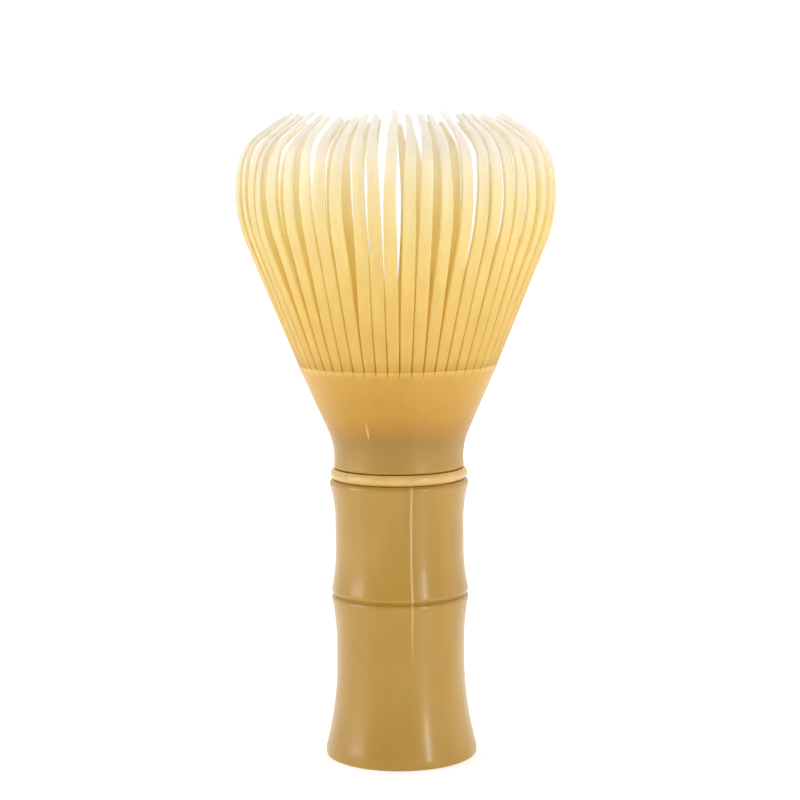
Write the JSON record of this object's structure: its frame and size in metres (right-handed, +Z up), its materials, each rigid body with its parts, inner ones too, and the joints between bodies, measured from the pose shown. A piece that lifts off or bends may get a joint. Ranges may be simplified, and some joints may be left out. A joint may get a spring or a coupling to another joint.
{
  "type": "tea whisk",
  "caption": "Moulded tea whisk with a hollow waisted handle, a bead ring and a flared cup whose rim carries one ring of springy tines curling in at the tips.",
  "frame": {"origin": "centre of the foot, on the surface it stands on", "axes": "+Z up along the handle towards the tines' tips, +X to the right and -Y to the front of the pictured view"},
  "size_m": [0.0552, 0.0552, 0.112],
  "materials": {
    "handle_plastic": "satin, opaque tan",
    "ring_plastic": "satin, opaque light tan",
    "head_plastic": "satin, translucent amber"
  },
  "bodies": {
    "handle": {"handle_shell": "handle_plastic", "collar_ring": "ring_plastic", "tine_cup": "head_plastic"},
    "tine_01": {"tine_01": "head_plastic"},
    "tine_02": {"tine_02": "head_plastic"},
    "tine_03": {"tine_03": "head_plastic"},
    "tine_04": {"tine_04": "head_plastic"},
    "tine_05": {"tine_05": "head_plastic"},
    "tine_06": {"tine_06": "head_plastic"},
    "tine_07": {"tine_07": "head_plastic"},
    "tine_08": {"tine_08": "head_plastic"},
    "tine_09": {"tine_09": "head_plastic"},
    "tine_10": {"tine_10": "head_plastic"},
    "tine_11": {"tine_11": "head_plastic"},
    "tine_12": {"tine_12": "head_plastic"},
    "tine_13": {"tine_13": "head_plastic"},
    "tine_14": {"tine_14": "head_plastic"},
    "tine_15": {"tine_15": "head_plastic"},
    "tine_16": {"tine_16": "head_plastic"},
    "tine_17": {"tine_17": "head_plastic"},
    "tine_18": {"tine_18": "head_plastic"},
    "tine_19": {"tine_19": "head_plastic"},
    "tine_20": {"tine_20": "head_plastic"},
    "tine_21": {"tine_21": "head_plastic"},
    "tine_22": {"tine_22": "head_plastic"},
    "tine_23": {"tine_23": "head_plastic"},
    "tine_24": {"tine_24": "head_plastic"},
    "tine_25": {"tine_25": "head_plastic"},
    "tine_26": {"tine_26": "head_plastic"},
    "tine_27": {"tine_27": "head_plastic"},
    "tine_28": {"tine_28": "head_plastic"},
    "tine_29": {"tine_29": "head_plastic"},
    "tine_30": {"tine_30": "head_plastic"},
    "tine_31": {"tine_31": "head_plastic"},
    "tine_32": {"tine_32": "head_plastic"},
    "tine_33": {"tine_33": "head_plastic"},
    "tine_34": {"tine_34": "head_plastic"},
    "tine_35": {"tine_35": "head_plastic"},
    "tine_36": {"tine_36": "head_plastic"},
    "tine_37": {"tine_37": "head_plastic"},
    "tine_38": {"tine_38": "head_plastic"},
    "tine_39": {"tine_39": "head_plastic"},
    "tine_40": {"tine_40": "head_plastic"},
    "tine_41": {"tine_41": "head_plastic"},
    "tine_42": {"tine_42": "head_plastic"},
    "tine_43": {"tine_43": "head_plastic"},
    "tine_44": {"tine_44": "head_plastic"},
    "tine_45": {"tine_45": "head_plastic"},
    "tine_46": {"tine_46": "head_plastic"},
    "tine_47": {"tine_47": "head_plastic"},
    "tine_48": {"tine_48": "head_plastic"},
    "tine_49": {"tine_49": "head_plastic"},
    "tine_50": {"tine_50": "head_plastic"},
    "tine_51": {"tine_51": "head_plastic"},
    "tine_52": {"tine_52": "head_plastic"},
    "tine_53": {"tine_53": "head_plastic"},
    "tine_54": {"tine_54": "head_plastic"}
  },
  "joints": [
    {"name": "tine_01_flex", "type": "hinge", "parent": "handle", "child": "tine_01", "pos_m": [0.01674, 0.00029, 0.06921], "axis": [-0.0175, 0.9998, 0.0057], "range_deg": [-4, 10], "stiffness_Nm_per_rad": 0.01},
    {"name": "tine_02_flex", "type": "hinge", "parent": "handle", "child": "tine_02", "pos_m": [0.0166, 0.00223, 0.06921], "axis": [-0.1334, 0.991, 0.0073], "range_deg": [-4, 10], "stiffness_Nm_per_rad": 0.01},
    {"name": "tine_03_flex", "type": "hinge", "parent": "handle", "child": "tine_03", "pos_m": [0.01622, 0.00415, 0.06921], "axis": [-0.2476, 0.9689, 0.0052], "range_deg": [-4, 10], "stiffness_Nm_per_rad": 0.01},
    {"name": "tine_04_flex", "type": "hinge", "parent": "handle", "child": "tine_04", "pos_m": [0.01563, 0.006, 0.06921], "axis": [-0.3584, 0.9336, -0.0065], "range_deg": [-4, 10], "stiffness_Nm_per_rad": 0.01},
    {"name": "tine_05_flex", "type": "hinge", "parent": "handle", "child": "tine_05", "pos_m": [0.01483, 0.00778, 0.06921], "axis": [-0.4643, 0.8856, -0.0127], "range_deg": [-4, 10], "stiffness_Nm_per_rad": 0.01},
    {"name": "tine_06_flex", "type": "hinge", "parent": "handle", "child": "tine_06", "pos_m": [0.01383, 0.00944, 0.06921], "axis": [-0.564, 0.8258, 0.0065], "range_deg": [-4, 10], "stiffness_Nm_per_rad": 0.01},
    {"name": "tine_07_flex", "type": "hinge", "parent": "handle", "child": "tine_07", "pos_m": [0.01264, 0.01099, 0.06921], "axis": [-0.656, 0.7547, 0.0102], "range_deg": [-4, 10], "stiffness_Nm_per_rad": 0.01},
    {"name": "tine_08_flex", "type": "hinge", "parent": "handle", "child": "tine_08", "pos_m": [0.01128, 0.01238, 0.06921], "axis": [-0.7392, 0.6734, 0.0006], "range_deg": [-4, 10], "stiffness_Nm_per_rad": 0.01},
    {"name": "tine_09_flex", "type": "hinge", "parent": "handle", "child": "tine_09", "pos_m": [0.00976, 0.0136, 0.06921], "axis": [-0.8124, 0.5831, -0.0053], "range_deg": [-4, 10], "stiffness_Nm_per_rad": 0.01},
    {"name": "tine_10_flex", "type": "hinge", "parent": "handle", "child": "tine_10", "pos_m": [0.00812, 0.01465, 0.06921], "axis": [-0.8746, 0.4848, -0.0111], "range_deg": [-4, 10], "stiffness_Nm_per_rad": 0.01},
    {"name": "tine_11_flex", "type": "hinge", "parent": "handle", "child": "tine_11", "pos_m": [0.00636, 0.01549, 0.06921], "axis": [-0.925, 0.38, 0.0047], "range_deg": [-4, 10], "stiffness_Nm_per_rad": 0.01},
    {"name": "tine_12_flex", "type": "hinge", "parent": "handle", "child": "tine_12", "pos_m": [0.00452, 0.01612, 0.06921], "axis": [-0.9628, 0.27, 0.0134], "range_deg": [-4, 10], "stiffness_Nm_per_rad": 0.01},
    {"name": "tine_13_flex", "type": "hinge", "parent": "handle", "child": "tine_13", "pos_m": [0.00262, 0.01654, 0.06921], "axis": [-0.9877, 0.1564, -0.0021], "range_deg": [-4, 10], "stiffness_Nm_per_rad": 0.01},
    {"name": "tine_14_flex", "type": "hinge", "parent": "handle", "child": "tine_14", "pos_m": [0.00068, 0.01673, 0.06921], "axis": [-0.9991, 0.0407, -0.0071], "range_deg": [-4, 10], "stiffness_Nm_per_rad": 0.01},
    {"name": "tine_15_flex", "type": "hinge", "parent": "handle", "child": "tine_15", "pos_m": [-0.00127, 0.0167, 0.06921], "axis": [-0.9971, -0.0756, -0.0071], "range_deg": [-4, 10], "stiffness_Nm_per_rad": 0.01},
    {"name": "tine_16_flex", "type": "hinge", "parent": "handle", "child": "tine_16", "pos_m": [-0.0032, 0.01644, 0.06921], "axis": [-0.9816, -0.1908, 0.0026], "range_deg": [-4, 10], "stiffness_Nm_per_rad": 0.01},
    {"name": "tine_17_flex", "type": "hinge", "parent": "handle", "child": "tine_17", "pos_m": [-0.00508, 0.01596, 0.06921], "axis": [-0.9527, -0.3034, 0.0143], "range_deg": [-4, 10], "stiffness_Nm_per_rad": 0.01},
    {"name": "tine_18_flex", "type": "hinge", "parent": "handle", "child": "tine_18", "pos_m": [-0.0069, 0.01526, 0.06921], "axis": [-0.9112, -0.412, -0.0019], "range_deg": [-4, 10], "stiffness_Nm_per_rad": 0.01},
    {"name": "tine_19_flex", "type": "hinge", "parent": "handle", "child": "tine_19", "pos_m": [-0.00862, 0.01435, 0.06921], "axis": [-0.8571, -0.515, -0.0109], "range_deg": [-4, 10], "stiffness_Nm_per_rad": 0.01},
    {"name": "tine_20_flex", "type": "hinge", "parent": "handle", "child": "tine_20", "pos_m": [-0.01023, 0.01326, 0.06921], "axis": [-0.7916, -0.6111, -0.0031], "range_deg": [-4, 10], "stiffness_Nm_per_rad": 0.01},
    {"name": "tine_21_flex", "type": "hinge", "parent": "handle", "child": "tine_21", "pos_m": [-0.0117, 0.01198, 0.06921], "axis": [-0.7153, -0.6988, 0.0029], "range_deg": [-4, 10], "stiffness_Nm_per_rad": 0.01},
    {"name": "tine_22_flex", "type": "hinge", "parent": "handle", "child": "tine_22", "pos_m": [-0.01301, 0.01054, 0.06921], "axis": [-0.6293, -0.7771, 0.012], "range_deg": [-4, 10], "stiffness_Nm_per_rad": 0.01},
    {"name": "tine_23_flex", "type": "hinge", "parent": "handle", "child": "tine_23", "pos_m": [-0.01415, 0.00896, 0.06921], "axis": [-0.5348, -0.845, 0.0003], "range_deg": [-4, 10], "stiffness_Nm_per_rad": 0.01},
    {"name": "tine_24_flex", "type": "hinge", "parent": "handle", "child": "tine_24", "pos_m": [-0.01509, 0.00725, 0.06921], "axis": [-0.4331, -0.9012, -0.014], "range_deg": [-4, 10], "stiffness_Nm_per_rad": 0.01},
    {"name": "tine_25_flex", "type": "hinge", "parent": "handle", "child": "tine_25", "pos_m": [-0.01583, 0.00545, 0.06921], "axis": [-0.3256, -0.9455, -0.0016], "range_deg": [-4, 10], "stiffness_Nm_per_rad": 0.01},
    {"name": "tine_26_flex", "type": "hinge", "parent": "handle", "child": "tine_26", "pos_m": [-0.01636, 0.00358, 0.06921], "axis": [-0.2136, -0.9769, 0.006], "range_deg": [-4, 10], "stiffness_Nm_per_rad": 0.01},
    {"name": "tine_27_flex", "type": "hinge", "parent": "handle", "child": "tine_27", "pos_m": [-0.01666, 0.00165, 0.06921], "axis": [-0.0987, -0.9951, 0.0081], "range_deg": [-4, 10], "stiffness_Nm_per_rad": 0.01},
    {"name": "tine_28_flex", "type": "hinge", "parent": "handle", "child": "tine_28", "pos_m": [-0.01674, -0.00029, 0.06921], "axis": [0.0175, -0.9998, 0.0015], "range_deg": [-4, 10], "stiffness_Nm_per_rad": 0.01},
    {"name": "tine_29_flex", "type": "hinge", "parent": "handle", "child": "tine_29", "pos_m": [-0.0166, -0.00223, 0.06921], "axis": [0.1334, -0.991, -0.0142], "range_deg": [-4, 10], "stiffness_Nm_per_rad": 0.01},
    {"name": "tine_30_flex", "type": "hinge", "parent": "handle", "child": "tine_30", "pos_m": [-0.01622, -0.00415, 0.06921], "axis": [0.2476, -0.9689, -0.003], "range_deg": [-4, 10], "stiffness_Nm_per_rad": 0.01},
    {"name": "tine_31_flex", "type": "hinge", "parent": "handle", "child": "tine_31", "pos_m": [-0.01563, -0.006, 0.06921], "axis": [0.3583, -0.9335, 0.0103], "range_deg": [-4, 10], "stiffness_Nm_per_rad": 0.01},
    {"name": "tine_32_flex", "type": "hinge", "parent": "handle", "child": "tine_32", "pos_m": [-0.01483, -0.00778, 0.06921], "axis": [0.4643, -0.8857, 0.0052], "range_deg": [-4, 10], "stiffness_Nm_per_rad": 0.01},
    {"name": "tine_33_flex", "type": "hinge", "parent": "handle", "child": "tine_33", "pos_m": [-0.01383, -0.00944, 0.06921], "axis": [0.564, -0.8258, -0.0001], "range_deg": [-4, 10], "stiffness_Nm_per_rad": 0.01},
    {"name": "tine_34_flex", "type": "hinge", "parent": "handle", "child": "tine_34", "pos_m": [-0.01264, -0.01099, 0.06921], "axis": [0.656, -0.7547, -0.0115], "range_deg": [-4, 10], "stiffness_Nm_per_rad": 0.01},
    {"name": "tine_35_flex", "type": "hinge", "parent": "handle", "child": "tine_35", "pos_m": [-0.01128, -0.01238, 0.06921], "axis": [0.7392, -0.6734, -0.0052], "range_deg": [-4, 10], "stiffness_Nm_per_rad": 0.01},
    {"name": "tine_36_flex", "type": "hinge", "parent": "handle", "child": "tine_36", "pos_m": [-0.00976, -0.0136, 0.06921], "axis": [0.8124, -0.583, 0.013], "range_deg": [-4, 10], "stiffness_Nm_per_rad": 0.01},
    {"name": "tine_37_flex", "type": "hinge", "parent": "handle", "child": "tine_37", "pos_m": [-0.00812, -0.01465, 0.06921], "axis": [0.8746, -0.4848, 0.0052], "range_deg": [-4, 10], "stiffness_Nm_per_rad": 0.01},
    {"name": "tine_38_flex", "type": "hinge", "parent": "handle", "child": "tine_38", "pos_m": [-0.00636, -0.01549, 0.06921], "axis": [0.925, -0.38, -0.0042], "range_deg": [-4, 10], "stiffness_Nm_per_rad": 0.01},
    {"name": "tine_39_flex", "type": "hinge", "parent": "handle", "child": "tine_39", "pos_m": [-0.00452, -0.01612, 0.06921], "axis": [0.9628, -0.27, -0.0081], "range_deg": [-4, 10], "stiffness_Nm_per_rad": 0.01},
    {"name": "tine_40_flex", "type": "hinge", "parent": "handle", "child": "tine_40", "pos_m": [-0.00262, -0.01654, 0.06921], "axis": [0.9877, -0.1564, -0.0055], "range_deg": [-4, 10], "stiffness_Nm_per_rad": 0.01},
    {"name": "tine_41_flex", "type": "hinge", "parent": "handle", "child": "tine_41", "pos_m": [-0.00068, -0.01673, 0.06921], "axis": [0.9991, -0.0407, 0.0124], "range_deg": [-4, 10], "stiffness_Nm_per_rad": 0.01},
    {"name": "tine_42_flex", "type": "hinge", "parent": "handle", "child": "tine_42", "pos_m": [0.00127, -0.0167, 0.06921], "axis": [0.9971, 0.0756, 0.0075], "range_deg": [-4, 10], "stiffness_Nm_per_rad": 0.01},
    {"name": "tine_43_flex", "type": "hinge", "parent": "handle", "child": "tine_43", "pos_m": [0.0032, -0.01644, 0.06921], "axis": [0.9816, 0.1908, -0.0085], "range_deg": [-4, 10], "stiffness_Nm_per_rad": 0.01},
    {"name": "tine_44_flex", "type": "hinge", "parent": "handle", "child": "tine_44", "pos_m": [0.00508, -0.01596, 0.06921], "axis": [0.9528, 0.3035, -0.0067], "range_deg": [-4, 10], "stiffness_Nm_per_rad": 0.01},
    {"name": "tine_45_flex", "type": "hinge", "parent": "handle", "child": "tine_45", "pos_m": [0.0069, -0.01526, 0.06921], "axis": [0.9112, 0.412, -0.0027], "range_deg": [-4, 10], "stiffness_Nm_per_rad": 0.01},
    {"name": "tine_46_flex", "type": "hinge", "parent": "handle", "child": "tine_46", "pos_m": [0.00862, -0.01435, 0.06921], "axis": [0.8571, 0.515, 0.0096], "range_deg": [-4, 10], "stiffness_Nm_per_rad": 0.01},
    {"name": "tine_47_flex", "type": "hinge", "parent": "handle", "child": "tine_47", "pos_m": [0.01023, -0.01326, 0.06921], "axis": [0.7915, 0.611, 0.0095], "range_deg": [-4, 10], "stiffness_Nm_per_rad": 0.01},
    {"name": "tine_48_flex", "type": "hinge", "parent": "handle", "child": "tine_48", "pos_m": [0.0117, -0.01198, 0.06921], "axis": [0.7152, 0.6988, -0.0103], "range_deg": [-4, 10], "stiffness_Nm_per_rad": 0.01},
    {"name": "tine_49_flex", "type": "hinge", "parent": "handle", "child": "tine_49", "pos_m": [0.01301, -0.01054, 0.06921], "axis": [0.6293, 0.7771, -0.0082], "range_deg": [-4, 10], "stiffness_Nm_per_rad": 0.01},
    {"name": "tine_50_flex", "type": "hinge", "parent": "handle", "child": "tine_50", "pos_m": [0.01415, -0.00896, 0.06921], "axis": [0.5348, 0.8449, 0.0019], "range_deg": [-4, 10], "stiffness_Nm_per_rad": 0.01},
    {"name": "tine_51_flex", "type": "hinge", "parent": "handle", "child": "tine_51", "pos_m": [0.01509, -0.00725, 0.06921], "axis": [0.4331, 0.9013, 0.0071], "range_deg": [-4, 10], "stiffness_Nm_per_rad": 0.01},
    {"name": "tine_52_flex", "type": "hinge", "parent": "handle", "child": "tine_52", "pos_m": [0.01583, -0.00545, 0.06921], "axis": [0.3256, 0.9455, 0.0089], "range_deg": [-4, 10], "stiffness_Nm_per_rad": 0.01},
    {"name": "tine_53_flex", "type": "hinge", "parent": "handle", "child": "tine_53", "pos_m": [0.01636, -0.00358, 0.06921], "axis": [0.2136, 0.9769, -0.0091], "range_deg": [-4, 10], "stiffness_Nm_per_rad": 0.01},
    {"name": "tine_54_flex", "type": "hinge", "parent": "handle", "child": "tine_54", "pos_m": [0.01666, -0.00165, 0.06921], "axis": [0.0987, 0.9951, -0.0111], "range_deg": [-4, 10], "stiffness_Nm_per_rad": 0.01}
  ]
}
